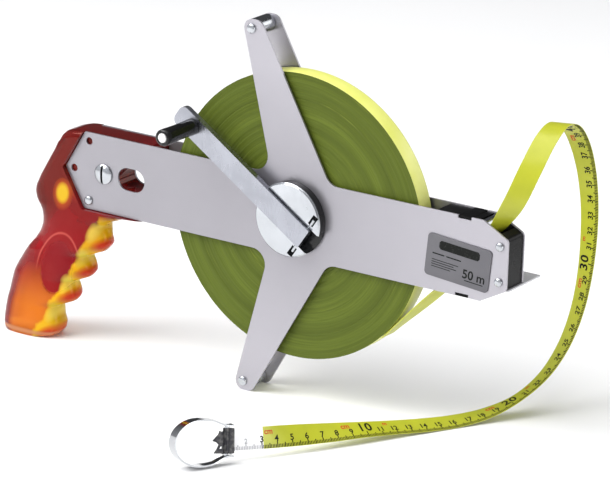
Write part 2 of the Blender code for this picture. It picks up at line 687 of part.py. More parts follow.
def end_fittings():
    """The claw and ring: X points out of the blade's end, Z to its upper edge, Y to its printed side."""
    middles, wides = free_blade()
    out = (middles[-1] - middles[-2]).normalized()
    up = wides[-1].normalized()
    side = up.cross(out)
    turn = Matrix((out, side, up)).transposed().to_euler()
    frame = make_empty("end_frame", HUB_FRAME, middles[-1], turn)
    axis = (HOOK_PIN, 0.95, 0)
    claw = flat_outline("end_hook", [HOOK_OUTLINE, HOOK_WINDOW], -1.35, -0.55, DARK_STEEL, frame)
    join(claw, rod("barrel", 2.0, (axis[0], axis[1], -7.4), (axis[0], axis[1], 7.4), parent=frame))
    cut(claw, rod("barrel_bore", 1.3, (axis[0], axis[1], -20), (axis[0], axis[1], 20), parent=frame))
    rod("ring_pin", 1.0, (axis[0], axis[1], -9.9), (axis[0], axis[1], 9.9), BRIGHT, frame, 16)
    upper = [Vector((x, axis[1], z)) for x, z in RING_PATH]
    lower = [Vector((p.x, p.y, -p.z)) for p in reversed(upper[:-1])]
    path = catmull(upper + lower, 3)
    flare = [Vector((0, 2.5 + 2.2 * min(1.0, max(0.0, (p.x - 4) / 26)), 0)) for p in path]
    ring = strip("pull_ring", path, flare, 1.0, BRIGHT, frame, axis)
    cut(ring, rod("leg_bore", 1.3, (axis[0], axis[1], -20), (axis[0], axis[1], 20), parent=frame))


side_plate("front_plate", 1)
side_plate("rear_plate", -1)
frame_fasteners()
label_plate()
lip_plate()
grip()
grip_fasteners()
bushings()
reel()
crank_disc()
crank_arm()
mouth_guide()
rollers()
tape_lead()
tape_free()
end_fittings()
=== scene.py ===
"""Open-reel tape measure: finished pieces, materials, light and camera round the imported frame.

Lengths are millimetres in the hub frame, whose origin is the middle of the wound tape: +X towards
the mouth, +Z up, -Y towards the crank ("front").  at() turns such a point into the frame's metres.
"""
import math

import bmesh
import bpy
from mathutils import Matrix, Vector


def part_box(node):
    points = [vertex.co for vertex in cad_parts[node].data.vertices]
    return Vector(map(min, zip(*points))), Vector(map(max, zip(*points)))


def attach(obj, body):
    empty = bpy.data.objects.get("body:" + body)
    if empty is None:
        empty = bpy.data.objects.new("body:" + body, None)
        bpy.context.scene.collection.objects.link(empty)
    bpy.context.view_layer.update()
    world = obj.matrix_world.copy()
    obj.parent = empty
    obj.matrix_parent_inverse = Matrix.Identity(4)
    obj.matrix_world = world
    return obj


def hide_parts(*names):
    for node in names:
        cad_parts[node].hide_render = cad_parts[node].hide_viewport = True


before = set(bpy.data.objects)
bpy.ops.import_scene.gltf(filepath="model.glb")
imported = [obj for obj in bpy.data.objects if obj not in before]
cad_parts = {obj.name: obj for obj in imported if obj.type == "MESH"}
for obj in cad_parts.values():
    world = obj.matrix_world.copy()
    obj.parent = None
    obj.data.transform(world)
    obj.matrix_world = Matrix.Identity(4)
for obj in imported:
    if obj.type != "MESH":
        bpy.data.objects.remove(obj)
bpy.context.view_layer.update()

MM = 0.001
COIL_LOW, COIL_HIGH = (Vector(corner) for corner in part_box("wound_tape"))
HUB = (COIL_LOW + COIL_HIGH) / 2
REEL_R = (COIL_HIGH.x - COIL_LOW.x) / 2 / MM
TAPE_HALF = (COIL_HIGH.y - COIL_LOW.y) / 2 / MM
BLADE_THICK = 0.5
CRANK_TURN = math.radians(-146.3)

# The free blade from the mouth to its end: middles and upper-edge directions, as in part.py.
FREE_ROUTE = (
    ((133.3, -0.5, 16.0), (-0.19, -0.96, 0.20)),
    ((143.5, 2.5, 34.8), (-0.70, -0.57, 0.43)),
    ((147.8, 12.3, 53.5), (-0.87, -0.33, 0.35)),
    ((147.4, 29.0, 67.1), (-0.96, -0.21, 0.20)),
    ((144.0, 49.8, 71.0), (-0.98, -0.18, 0.01)),
    ((140.6, 69.9, 64.0), (-0.97, -0.22, -0.11)),
    ((139.0, 85.3, 48.9), (-0.97, -0.21, -0.12)),
    ((139.1, 94.7, 29.4), (-1.00, -0.06, -0.05)),
    ((139.8, 98.9, 8.1), (-1.00, 0.09, -0.02)),
    ((140.1, 99.4, -13.6), (-0.98, 0.20, -0.01)),
    ((139.9, 97.2, -35.2), (-0.95, 0.32, -0.02)),
    ((138.7, 92.3, -56.3), (-0.91, 0.41, -0.05)),
    ((135.8, 83.8, -76.0), (-0.87, 0.49, -0.09)),
    ((130.4, 71.3, -92.9), (-0.82, 0.55, -0.14)),
    ((121.9, 55.5, -105.0), (-0.82, 0.55, -0.14)),
    ((111.4, 37.8, -111.9), (-0.86, 0.50, 0.07)),
    ((101.1, 18.4, -113.8), (-0.85, 0.46, 0.24)),
    ((90.8, -0.8, -113.0), (-0.84, 0.46, 0.30)),
    ((80.6, -19.3, -111.3), (-0.82, 0.46, 0.33)),
    ((70.7, -38.5, -109.3), (-0.78, 0.45, 0.43)),
    ((60.7, -57.8, -107.6), (-0.66, 0.40, 0.64)),
    ((50.8, -77.1, -105.7), (-0.47, 0.32, 0.82)),
    ((41.0, -96.4, -103.7), (-0.26, 0.23, 0.94)),
    ((29.3, -114.5, -102.5), (-0.12, 0.14, 0.98)),
)
BLADE_ZERO = 10.0
WHITE_END = 30.0


# ---------------------------------------------------------------- camera

AZIMUTH = math.radians(33.0)
ELEVATION = math.radians(18.01)
ROLL = math.radians(1.725)
DISTANCE = 2364.3
AIM_RIGHT = 1.7
AIM_DOWN = 15.6
LENS = 234.5


def at(x, y, z):
    return HUB + Vector((x, y, z)) * MM


def make_camera():
    """A long lens, a little above the tool and to the crank side of the mouth, slightly rolled."""
    back = Vector((math.sin(AZIMUTH) * math.cos(ELEVATION), -math.cos(AZIMUTH) * math.cos(ELEVATION),
                   math.sin(ELEVATION)))
    level = Vector((math.cos(AZIMUTH), math.sin(AZIMUTH), 0))
    upright = back.cross(level)
    right = level * math.cos(ROLL) + upright * math.sin(ROLL)
    up = upright * math.cos(ROLL) - level * math.sin(ROLL)
    data = bpy.data.cameras.new("camera")
    data.lens = LENS
    data.sensor_width = 36.0
    data.clip_end = 50
    camera = bpy.data.objects.new("camera", data)
    bpy.context.scene.collection.objects.link(camera)
    place = HUB + (back * DISTANCE + right * AIM_RIGHT - up * AIM_DOWN) * MM
    turn = Matrix((right, up, back)).transposed().to_4x4()
    camera.matrix_world = Matrix.Translation(place) @ turn
    bpy.context.scene.camera = camera


make_camera()


# ---------------------------------------------------------------- materials

class Shader:
    """A Principled material with short calls for the procedural nodes used here."""

    def __init__(self, name, base, roughness, metallic=0.0):
        self.material = bpy.data.materials.new(name)
        self.material.use_nodes = True
        self.tree = self.material.node_tree
        self.main = self.tree.nodes["Principled BSDF"]
        self.main.inputs["Base Color"].default_value = (*base, 1)
        self.main.inputs["Roughness"].default_value = roughness
        self.main.inputs["Metallic"].default_value = metallic
        self.coords = self.node("ShaderNodeTexCoord").outputs["Object"]

    def node(self, kind, **settings):
        made = self.tree.nodes.new(kind)
        for key, value in settings.items():
            setattr(made, key, value)
        return made

    def feed(self, socket, value):
        if hasattr(value, "links") or hasattr(value, "is_output"):
            self.tree.links.new(value, socket)
        else:
            socket.default_value = value

    def math(self, operation, a, b=0.0, c=0.0):
        made = self.node("ShaderNodeMath", operation=operation)
        for socket, value in zip(made.inputs, (a, b, c)):
            self.feed(socket, value)
        return made.outputs[0]

    def stretch(self, scale, vector=None):
        made = self.node("ShaderNodeMapping")
        made.inputs["Scale"].default_value = scale
        self.feed(made.inputs["Vector"], self.coords if vector is None else vector)
        return made.outputs[0]

    def noise(self, scale, detail=3.0, vector=None, roughness=0.5):
        made = self.node("ShaderNodeTexNoise")
        made.inputs["Scale"].default_value = scale
        made.inputs["Detail"].default_value = detail
        made.inputs["Roughness"].default_value = roughness
        self.feed(made.inputs["Vector"], self.coords if vector is None else vector)
        return made.outputs[0]

    def band(self, value, low, high, start=0.0, end=1.0):
        made = self.node("ShaderNodeMapRange")
        for socket, number in zip(made.inputs, (value, low, high, start, end)):
            self.feed(socket, number)
        return made.outputs[0]

    def blend(self, factor, first, second):
        made = self.node("ShaderNodeMix", data_type="RGBA")
        self.feed(made.inputs["Factor"], factor)
        for name, value in (("A", first), ("B", second)):
            socket = [s for s in made.inputs if s.name == name and s.type == "RGBA"][0]
            self.feed(socket, value if hasattr(value, "links") else (*value, 1))
        return [s for s in made.outputs if s.type == "RGBA"][0]

    def millimetres(self):
        """Object coordinates in millimetres, one socket for each axis."""
        split = self.node("ShaderNodeSeparateXYZ")
        self.feed(split.inputs[0], self.stretch((1000, 1000, 1000)))
        return split.outputs["X"], split.outputs["Y"], split.outputs["Z"]

    def oval(self, x, z, centre, lean, wide, tall, soft=0.12):
        """1 inside an ellipse in the XZ plane, its long axis leaning in degrees off the vertical."""
        c = math.cos(math.radians(lean))
        n = math.sin(math.radians(lean))
        dx = self.math("SUBTRACT", x, centre[0])
        dz = self.math("SUBTRACT", z, centre[1])
        p = self.math("SUBTRACT", self.math("MULTIPLY", dx, c / wide), self.math("MULTIPLY", dz, n / wide))
        q = self.math("ADD", self.math("MULTIPLY", dx, n / tall), self.math("MULTIPLY", dz, c / tall))
        far = self.math("ADD", self.math("MULTIPLY", p, p), self.math("MULTIPLY", q, q))
        return self.band(far, 1 + soft, 1 - soft)

    def set(self, name, value):
        self.feed(self.main.inputs[name], value)

    def bump(self, height, strength, distance=0.0002):
        made = self.node("ShaderNodeBump")
        made.inputs["Strength"].default_value = strength
        made.inputs["Distance"].default_value = distance
        self.feed(made.inputs["Height"], height)
        self.tree.links.new(made.outputs["Normal"], self.main.inputs["Normal"])


def satin_metal(name, base, metallic):
    """Satin-finished plate: a fine even grain, soft cloudy handling marks and a painted sheen that lightens
    the arms and the mouth end.
    """
    s = Shader(name, base, 0.36, metallic)
    clouds = s.noise(14, 4)
    grain = s.noise(2600, 2)
    x, y, z = s.millimetres()
    # Painted sheen: the base colour is lighter on the arms and towards the mouth end.
    painted_sheen = s.math("MAXIMUM", s.band(s.math("ABSOLUTE", z), 22, 90), s.band(x, 10, 130))
    tone = s.blend(s.band(clouds, 0.35, 0.7), base, tuple(v * 1.12 for v in base))
    s.set("Base Color", s.blend(s.math("MULTIPLY", painted_sheen, 0.8), tone, tuple(v * 1.45 for v in base)))
    s.set("Roughness", s.math("ADD", s.band(clouds, 0.3, 0.7, 0.31, 0.39), s.band(grain, 0.3, 0.7, 0, 0.06)))
    s.bump(grain, 0.05)
    return s.material


def polished_steel(name="bright_steel", base=(0.55, 0.57, 0.60), low=0.13, high=0.24, grain=900):
    """Nickel-bright steel with fine straight polishing lines and faint smears."""
    s = Shader(name, base, low, 1.0)
    lines = s.noise(grain, 2, s.stretch((1.0, 0.3, 0.06)))
    smears = s.noise(60, 4)
    darker = tuple(v * 0.86 for v in base)
    s.set("Base Color", s.blend(s.band(smears, 0.35, 0.75), base, darker))
    s.set("Roughness", s.math("ADD", s.band(smears, 0.3, 0.7, low, high), s.band(lines, 0.4, 0.6, 0, 0.05)))
    s.bump(lines, 0.03)
    return s.material


def dark_steel():
    s = Shader("dark_steel", (0.05, 0.05, 0.055), 0.38, 0.85)
    patches = s.noise(420, 4)
    s.set("Base Color", s.blend(s.band(patches, 0.45, 0.75), (0.035, 0.035, 0.04), (0.16, 0.155, 0.15)))
    s.set("Roughness", s.band(patches, 0.3, 0.7, 0.30, 0.5))
    s.bump(patches, 0.15)
    return s.material


# Colour fields of the amber grip, the painted ridge shades and painted ridge highlights among them, as (x, z)
# middles, and the lean of its oval panel in degrees.
GRIP_LEAN = 17.7
GRIP_PANEL = (-172.6, -66.3)
PANEL_RIM = (-172.0, -67.0)
PAINTED_RIDGE_SHADES = ((-141.5, -47.5), (-154.0, -68.0), (-166.0, -86.0), (-181.0, -112.0))
PAINTED_RIDGE_HIGHLIGHTS = ((-146.5, -39.0), (-155.5, -57.0), (-167.5, -76.5), (-178.5, -98.0))


def amber_plastic():
    """Amber moulding: crimson where it is thick, orange and yellow in the thin finger ridges; painted
    highlights on the ridges, the panel's top edge and the foot, a painted glint on the head and painted shade
    on the ridge flanks.
    """
    s = Shader("amber_plastic", (0.40, 0.012, 0.02), 0.08)
    s.main.inputs["Transmission Weight"].default_value = 0.5
    s.main.inputs["IOR"].default_value = 1.47
    s.main.inputs["Specular IOR Level"].default_value = 0.3
    s.main.inputs["Specular Tint"].default_value = (1.0, 0.42, 0.34, 1)
    x, y, z = s.millimetres()
    swirl = s.noise(60, 3)
    wander = s.band(s.noise(110, 3), 0.3, 0.7, -1.6, 1.6)
    base = s.blend(s.band(swirl, 0.3, 0.7), (0.34, 0.004, 0.009), (0.25, 0.003, 0.007))
    base = s.blend(s.band(z, -42, -8, 0.0, 0.75), base, (0.12, 0.007, 0.006))
    low = s.band(z, -66, -96)
    drop = s.math("MULTIPLY_ADD", z, -1.0, -41.0)
    edge = s.math("MULTIPLY_ADD", drop, 0.0043, -0.70)
    edge = s.math("MULTIPLY_ADD", edge, drop, -189.0)
    back = s.math("SUBTRACT", x, edge)
    inside = s.math("MULTIPLY", s.band(back, 5, 11), low)
    base = s.blend(inside, base, (0.78, 0.20, 0.010))
    base = s.blend(s.band(back, 9, 2, 0.0, 0.85), base, (0.16, 0.008, 0.006))
    panel = s.oval(x, z, GRIP_PANEL, GRIP_LEAN, 10.8, 18.6)
    base = s.blend(panel, base, (0.27, 0.002, 0.010))
    # Painted highlight: a thin salmon line along the top edge of the oval panel.
    outer = s.oval(x, z, PANEL_RIM, GRIP_LEAN, 15.2, 25.5, 0.05)
    inner = s.oval(x, z, PANEL_RIM, GRIP_LEAN, 14.3, 24.4, 0.05)
    painted_arch_highlight = s.math("MULTIPLY", s.math("SUBTRACT", outer, inner), s.band(z, -72, -58, 0.0, 0.8))
    base = s.blend(painted_arch_highlight, base, (0.78, 0.16, 0.12))
    front = s.math("ADD", s.math("MULTIPLY_ADD", z, -0.585, 124.0), x)
    front = s.math("ADD", front, wander)
    below = s.band(z, -26, -31)
    base = s.blend(s.math("MULTIPLY", s.band(front, -1.5, 0.5), below), base, (1.0, 0.64, 0.010))
    base = s.blend(s.math("MULTIPLY", s.band(front, 9.5, 14, 0.0, 0.8), below), base, (0.80, 0.15, 0.012))
    # Painted shade: orange-red ovals on the flanks of the finger ridges.
    for centre in PAINTED_RIDGE_SHADES:
        base = s.blend(s.oval(x, z, centre, 60.0, 3.6, 7.0, 0.9), base, (0.72, 0.055, 0.010))
    # Painted highlights: pale yellow ovals in the middle of the finger ridges.
    for centre in PAINTED_RIDGE_HIGHLIGHTS:
        base = s.blend(s.oval(x, z, centre, 25.0, 2.8, 6.0, 0.9), base, (1.0, 0.88, 0.10))
    # Painted highlight: a pale salmon band along the bottom of the grip.
    foot = s.math("MULTIPLY", s.band(z, -111.0, -112.5), s.band(z, -115.0, -113.5))
    base = s.blend(s.math("MULTIPLY", foot, 0.8), base, (0.95, 0.45, 0.22))
    # Painted glint: a yellow oval with an orange surround on the head.
    base = s.blend(s.oval(x, z, (-168.4, -17.4), 10.0, 6.2, 8.6, 0.7), base, (0.60, 0.10, 0.010))
    base = s.blend(s.oval(x, z, (-168.4, -17.0), 10.0, 4.4, 6.2, 0.5), base, (1.0, 0.72, 0.02))
    s.set("Base Color", base)
    grain = s.noise(900, 3)
    s.set("Roughness", s.math("ADD", s.band(grain, 0.3, 0.7, 0.04, 0.10), s.math("MULTIPLY", panel, 0.28)))
    leather = s.math("MULTIPLY", panel, s.noise(420, 4))
    s.bump(s.math("ADD", leather, s.math("MULTIPLY", swirl, 0.8)), 0.5, 0.0004)
    return s.material


def black_plastic(name="black_plastic", base=0.004, low=0.22, high=0.4, gloss=0.1):
    s = Shader(name, (base, base, base * 1.05), low)
    s.main.inputs["Specular IOR Level"].default_value = gloss
    fine = s.noise(1500, 3)
    wide = s.noise(45, 4)
    tone = (base, base, base * 1.05)
    s.set("Base Color", s.blend(s.band(wide, 0.4, 0.75), tone, tuple(v * 2.2 for v in tone)))
    s.set("Roughness", s.band(wide, 0.3, 0.7, low, high))
    s.bump(fine, 0.12)
    return s.material


def white_plastic():
    s = Shader("white_plastic", (0.82, 0.82, 0.80), 0.35)
    specks = s.noise(700, 3)
    s.set("Base Color", s.blend(s.band(specks, 0.5, 0.8), (0.84, 0.84, 0.82), (0.66, 0.66, 0.64)))
    s.set("Roughness", s.band(specks, 0.3, 0.7, 0.28, 0.42))
    s.bump(specks, 0.08)
    return s.material


def bronze():
    s = Shader("bearing_bronze", (0.52, 0.33, 0.14), 0.35, 0.9)
    stain = s.noise(300, 4)
    s.set("Base Color", s.blend(s.band(stain, 0.35, 0.7), (0.56, 0.36, 0.15), (0.28, 0.17, 0.08)))
    s.set("Roughness", s.band(stain, 0.3, 0.7, 0.25, 0.5))
    s.bump(stain, 0.08)
    return s.material


def blade_coat(name, base, shade):
    """Nylon-coated blade: even colour with slight mottling, a soft gloss and fine scuffs along it."""
    s = Shader(name, base, 0.34)
    mottle = s.noise(90, 4)
    scuff = s.noise(1400, 2)
    s.main.inputs["Coat Weight"].default_value = 0.25
    s.main.inputs["Coat Roughness"].default_value = 0.2
    s.set("Base Color", s.blend(s.band(mottle, 0.35, 0.75), base, shade))
    s.set("Roughness", s.math("ADD", s.band(mottle, 0.3, 0.7, 0.3, 0.4), s.band(scuff, 0.4, 0.7, 0, 0.06)))
    s.bump(scuff, 0.05)
    return s.material


def coil_sides():
    """The coil's sides: edge-on turns in olive, some paler and some darker from turn to turn."""
    s = Shader("coil_sides", (0.16, 0.21, 0.04), 0.5)
    s.main.inputs["Specular IOR Level"].default_value = 0.15
    split = s.node("ShaderNodeSeparateXYZ")
    s.feed(split.inputs[0], s.coords)
    x, z = split.outputs["X"], split.outputs["Z"]
    radius = s.math("SQRT", s.math("ADD", s.math("MULTIPLY", x, x), s.math("MULTIPLY", z, z)))
    ring = s.node("ShaderNodeCombineXYZ")
    s.feed(ring.inputs["X"], s.math("MULTIPLY", radius, 1000.0))
    s.feed(ring.inputs["Y"], s.math("MULTIPLY", s.math("DIVIDE", x, radius), 1.1))
    s.feed(ring.inputs["Z"], s.math("MULTIPLY", s.math("DIVIDE", z, radius), 1.1))
    turns = s.noise(1.15, 2, ring.outputs[0])
    wide = s.noise(0.09, 2, ring.outputs[0])
    streak = s.noise(0.75, 4, ring.outputs[0], 0.75)
    base = s.blend(s.band(wide, 0.38, 0.62), (0.085, 0.112, 0.012), (0.118, 0.155, 0.018))
    base = s.blend(s.band(turns, 0.35, 0.65, 0.0, 0.42), base, (0.060, 0.082, 0.012))
    base = s.blend(s.band(streak, 0.63, 0.74, 0.0, 0.6), base, (0.27, 0.31, 0.040))
    s.set("Base Color", base)
    s.set("Roughness", s.band(turns, 0.3, 0.7, 0.38, 0.6))
    s.bump(s.math("ADD", turns, s.math("MULTIPLY", streak, 0.6)), 0.55, 0.0004)
    return s.material


def label_foil():
    s = Shader("label_grey", (0.12, 0.118, 0.13), 0.42, 0.35)
    mist = s.noise(30, 4)
    grain = s.noise(3000, 1)
    s.set("Base Color", s.blend(s.band(mist, 0.3, 0.7), (0.115, 0.112, 0.125), (0.145, 0.142, 0.155)))
    s.set("Roughness", s.band(mist, 0.3, 0.7, 0.38, 0.5))
    s.bump(grain, 0.04)
    return s.material


def ink(name, base):
    s = Shader(name, base, 0.45)
    s.main.inputs["Specular IOR Level"].default_value = 0.15
    wear = s.noise(900, 4)
    paler = tuple(min(1.0, v * 1.4 + 0.03) for v in base)
    s.set("Base Color", s.blend(s.band(wear, 0.55, 0.8), base, paler))
    s.set("Roughness", s.band(wear, 0.3, 0.7, 0.38, 0.55))
    s.bump(wear, 0.03)
    return s.material


def studio_floor():
    s = Shader("studio_floor", (0.93, 0.93, 0.93), 0.7)
    s.set("Base Color", s.blend(s.band(s.noise(3, 3), 0.3, 0.7), (0.93, 0.93, 0.93), (0.95, 0.95, 0.95)))
    return s.material


SATIN = satin_metal("satin_plate", (0.335, 0.325, 0.352), 0.82)
LIP_SATIN = satin_metal("satin_lip", (0.42, 0.42, 0.44), 0.25)
BRIGHT = polished_steel()
RING_STEEL = polished_steel("ring_steel", (0.50, 0.51, 0.53), 0.05, 0.12, 300)
PLATED = polished_steel("plated_sheet", (0.40, 0.41, 0.455), 0.2, 0.32, 500)
DARK_STEEL = dark_steel()
AMBER = amber_plastic()
BLACK = black_plastic()
GLOSS_BLACK = black_plastic("gloss_black", 0.006, 0.10, 0.2, 0.35)
WHITE = white_plastic()
BRONZE = bronze()
YELLOW = blade_coat("tape_yellow", (0.48, 0.50, 0.024), (0.43, 0.455, 0.019))
PAINTED_LIT_RIM = blade_coat("tape_painted_lit", (0.80, 0.82, 0.22), (0.74, 0.77, 0.16))
WHITE_COAT = blade_coat("tape_white", (0.93, 0.93, 0.94), (0.86, 0.86, 0.88))
COIL = coil_sides()
LABEL = label_foil()
BLACK_INK = ink("black_ink", (0.006, 0.007, 0.006))
RED_INK = ink("red_ink", (0.55, 0.06, 0.02))
GREY_INK = ink("grey_ink", (0.40, 0.40, 0.42))


# ---------------------------------------------------------------- helpers

def finish_piece(obj, material, body, hides=()):
    """Gives a new piece its material and body, and hides the CAD nodes it stands for."""
    if material is not None:
        obj.data.materials.clear()
        obj.data.materials.append(material)
    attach(obj, body)
    if hides:
        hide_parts(*hides)
    return obj


def add_mesh(name, bm, soft_angle=35.0):
    """Turns a bmesh in hub millimetres into an object whose origin is the hub."""
    bmesh.ops.recalc_face_normals(bm, faces=bm.faces)
    for vert in bm.verts:
        vert.co *= MM
    mesh = bpy.data.meshes.new(name)
    bm.to_mesh(mesh)
    bm.free()
    mesh.shade_smooth()
    mesh.set_sharp_from_angle(angle=math.radians(soft_angle))
    obj = bpy.data.objects.new(name, mesh)
    obj.location = HUB
    bpy.context.scene.collection.objects.link(obj)
    return obj


def edge_round(obj, width, segments=2, angle=30.0):
    bevel = obj.modifiers.new("edge_round", "BEVEL")
    bevel.width = width * MM
    bevel.segments = segments
    bevel.limit_method = "ANGLE"
    bevel.angle_limit = math.radians(angle)
    bevel.harden_normals = True
    return obj


def refined(node, material, body, width=0.0, segments=2):
    """A copy of a CAD node's shape with softened edges, standing in for that node."""
    source = bpy.data.objects[node]
    bm = bmesh.new()
    bm.from_mesh(source.data)
    bmesh.ops.remove_doubles(bm, verts=bm.verts, dist=0.000005)
    bmesh.ops.dissolve_limit(bm, angle_limit=0.004, verts=bm.verts, edges=bm.edges)
    for vert in bm.verts:
        vert.co = (source.matrix_world @ vert.co - HUB) / MM
    piece = add_mesh(node + "_finished", bm)
    if width > 0:
        edge_round(piece, width, segments)
    return finish_piece(piece, material, body, (node,))


def catmull(points, parts):
    ends = [points[0] * 2 - points[1]] + list(points) + [points[-1] * 2 - points[-2]]
    out = []
    for i in range(1, len(ends) - 2):
        a, b, c, d = ends[i - 1:i + 3]
        for k in range(parts):
            t = k / parts
            out.append(0.5 * (2 * b + (c - a) * t + (2 * a - 5 * b + 4 * c - d) * t ** 2
                              + (3 * b - a - 3 * c + d) * t ** 3))
    out.append(points[-1].copy())
    return out


def ring_of(bm, points):
    return [bm.verts.new(p) for p in points]


def bridge(bm, rows, closed=False):
    """Skins a list of vertex rings; closed joins the last ring to the first."""
    faces = []
    count = len(rows[0])
    pairs = list(zip(rows, rows[1:] + rows[:1])) if closed else list(zip(rows, rows[1:]))
    for low, high in pairs:
        for k in range(count):
            n = (k + 1) % count
            faces.append(bm.faces.new((low[k], low[n], high[n], high[k])))
    return faces


def turned(name, profile, centre, material, body, hides=(), steps=96, closed=False,
           frame_turn=0.0):
    """A turned piece about Y: profile points are (radius, distance in front)."""
    bm = bmesh.new()
    rows = []
    for i in range(steps):
        angle = 2 * math.pi * i / steps
        rows.append([bm.verts.new((centre[0] + r * math.cos(angle), -front, centre[1] + r * math.sin(angle)))
                     for r, front in profile])
    count = len(profile)
    last = count if closed else count - 1
    for i in range(steps):
        a, b = rows[i], rows[(i + 1) % steps]
        for k in range(last):
            n = (k + 1) % count
            bm.faces.new((a[k], a[n], b[n], b[k]))
    bmesh.ops.remove_doubles(bm, verts=bm.verts, dist=0.0005)
    bmesh.ops.dissolve_degenerate(bm, edges=bm.edges, dist=0.0001)
    if frame_turn:
        bmesh.ops.rotate(bm, verts=bm.verts, cent=(0, 0, 0), matrix=Matrix.Rotation(frame_turn, 3, "Y"))
    return finish_piece(add_mesh(name, bm), material, body, hides)


# ---------------------------------------------------------------- blade and its printing

class Blade:
    """The free blade's middle line, measured along it from the end fitting (s) and across it (w)."""

    def __init__(self):
        middles = catmull([Vector(p) for p, w in FREE_ROUTE], 12)[::-1]
        edges = catmull([Vector(w) for p, w in FREE_ROUTE], 12)[::-1]
        self.points = middles
        self.along = []
        self.across = []
        self.reach = [0.0]
        for i, edge in enumerate(edges):
            ahead = (middles[min(i + 1, len(middles) - 1)] - middles[max(i - 1, 0)]).normalized()
            self.along.append(ahead)
            self.across.append((edge - ahead * edge.dot(ahead)).normalized())
            if i:
                self.reach.append(self.reach[-1] + (middles[i] - middles[i - 1]).length)
        self.length = self.reach[-1]

    def spot(self, s, w, out=0.0):
        """The point s along, w towards the upper edge and out from the printed side."""
        s = min(max(s, 0.0), self.length - 0.001)
        low, high = 0, len(self.reach) - 1
        while high - low > 1:
            middle = (low + high) // 2
            if self.reach[middle] <= s:
                low = middle
            else:
                high = middle
        t = (s - self.reach[low]) / (self.reach[high] - self.reach[low])
        point = self.points[low].lerp(self.points[high], t)
        ahead = self.along[low].lerp(self.along[high], t).normalized()
        wide = self.across[low].lerp(self.across[high], t).normalized()
        return point + wide * w + ahead.cross(wide) * out


BLADE = Blade()


def blade_section():
    """Half-round edges and flat faces: (across, out) points of the blade's section."""
    half = BLADE_THICK / 2
    points = []
    for side in (1, -1):
        for step in (-60, 0, 60):
            angle = math.radians(step)
            points.append((side * (TAPE_HALF - half + half * math.cos(angle)), side * half * math.sin(angle)))
        points.append((side * (TAPE_HALF - 1.2), side * half))
        points.append((side * 0.01, side * half))
    return points


def free_blade():
    section = blade_section()
    bm = bmesh.new()
    rows = []
    step = 1.5
    count = int(BLADE.length / step)
    marks = [BLADE.length * i / count for i in range(count + 1)]
    for s in marks:
        rows.append(ring_of(bm, [BLADE.spot(s, w, out) for w, out in section]))
    for s, faces in zip(marks, [bridge(bm, pair) for pair in zip(rows, rows[1:])]):
        for face in faces:
            face.material_index = 1 if s < WHITE_END - BLADE_ZERO else 0
    bm.faces.new(rows[0])
    bm.faces.new(rows[-1])
    obj = add_mesh("free_blade", bm, 50)
    obj.data.materials.append(YELLOW)
    obj.data.materials.append(WHITE_COAT)
    return finish_piece(obj, None, "frame", ("tape_free",))


def printed(name, pieces, material):
    """Flat marks on the blade: each is a box from s0 to s1 along it and w0 to w1 across it."""
    bm = bmesh.new()
    for s0, s1, w0, w1 in pieces:
        corners = ((s0, w0), (s1, w0), (s1, w1), (s0, w1))
        low = ring_of(bm, [BLADE.spot(s, w, BLADE_THICK / 2 - 0.03) for s, w in corners])
        high = ring_of(bm, [BLADE.spot(s, w, BLADE_THICK / 2 + 0.05) for s, w in corners])
        bridge(bm, [low, high])
        bm.faces.new(low)
        bm.faces.new(high)
    return finish_piece(add_mesh(name, bm), material, "frame")


def lettering(name, words, material):
    """Figures laid on the blade: words are (text, s of the middle, w of the foot, height)."""
    bm = bmesh.new()
    for text, centre, foot, height in words:
        curve = bpy.data.curves.new(name, "FONT")
        curve.body = text
        curve.size = height * 1.4
        curve.extrude = 0.04
        curve.offset = height * 0.03
        curve.resolution_u = 3
        guide = bpy.data.objects.new(name + "_guide", curve)
        bpy.context.scene.collection.objects.link(guide)
        mesh = bpy.data.meshes.new_from_object(guide.evaluated_get(bpy.context.evaluated_depsgraph_get()))
        bpy.data.objects.remove(guide)
        part = bmesh.new()
        part.from_mesh(mesh)
        bmesh.ops.remove_doubles(part, verts=part.verts, dist=0.001)
        middle = sum(v.co.x for v in part.verts) / len(part.verts)
        for vert in part.verts:
            x, y, z = vert.co
            vert.co = BLADE.spot(centre + (x - middle), foot + y, BLADE_THICK / 2 + 0.02 + z)
        part.to_mesh(mesh)
        part.free()
        bm.from_mesh(mesh)
        bpy.data.meshes.remove(mesh)
    return finish_piece(add_mesh(name, bm), material, "frame")


